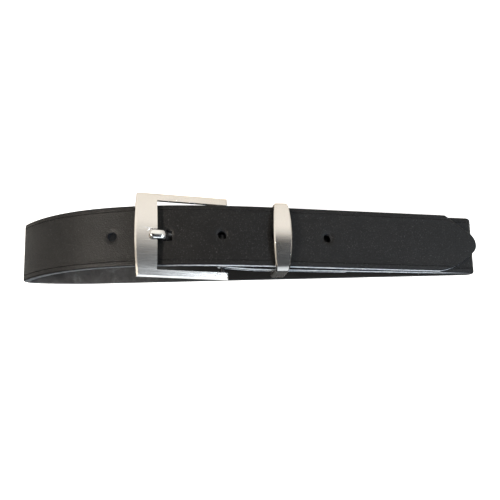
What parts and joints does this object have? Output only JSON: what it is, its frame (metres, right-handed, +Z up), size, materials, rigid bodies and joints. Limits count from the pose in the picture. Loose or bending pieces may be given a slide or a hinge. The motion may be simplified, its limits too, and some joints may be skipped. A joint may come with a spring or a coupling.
{
  "type": "leather belt",
  "caption": "Narrow dress belt fastened into a flattened loop: leather strap with a pointed tip, square prong buckle on a hinge bar, and a sliding metal keeper.",
  "frame": {"origin": "centre of the closed belt's footprint, on the surface it stands on", "axes": "+Z up across the strap's width, +X along the loop towards the buckle side, -Y towards the buckle's face"},
  "size_m": [0.255, 0.0608, 0.0467],
  "materials": {
    "leather": "smooth satin grain face, raw grey-brown edges and suede back",
    "brushed_nickel": "fine brushed with polished bevels",
    "polished_nickel": "polished",
    "steel_pin": "drawn, blackened",
    "stud_black": "blackened, satin"
  },
  "bodies": {
    "belt": {"strap": "leather", "stud_1_cap": "stud_black", "stud_1_socket": "stud_black", "stud_1_ball": "stud_black", "stud_1_post": "stud_black", "stud_2_cap": "stud_black", "stud_2_socket": "stud_black", "stud_2_ball": "stud_black", "stud_2_post": "stud_black"},
    "buckle": {"buckle_frame": "brushed_nickel", "hinge_bar": "steel_pin"},
    "tongue": {"prong": "polished_nickel"},
    "loop": {"keeper": "brushed_nickel"}
  },
  "joints": [
    {"name": "buckle_swing", "type": "hinge", "parent": "belt", "child": "buckle", "pos_m": [0.01525, -0.01029, 0.02166], "axis": [0, -0.1492, -0.9888], "range_deg": [0, 2]},
    {"name": "prong_swing", "type": "hinge", "parent": "buckle", "child": "tongue", "pos_m": [0.01525, -0.01029, 0.02166], "axis": [0, -0.1492, -0.9888], "range_deg": [0, 1.5]},
    {"name": "keeper_slide", "type": "slide", "parent": "belt", "child": "loop", "axis": [-0.9748, 0.2208, -0.0333], "range_m": [-0.0035, 0.0135]}
  ]
}
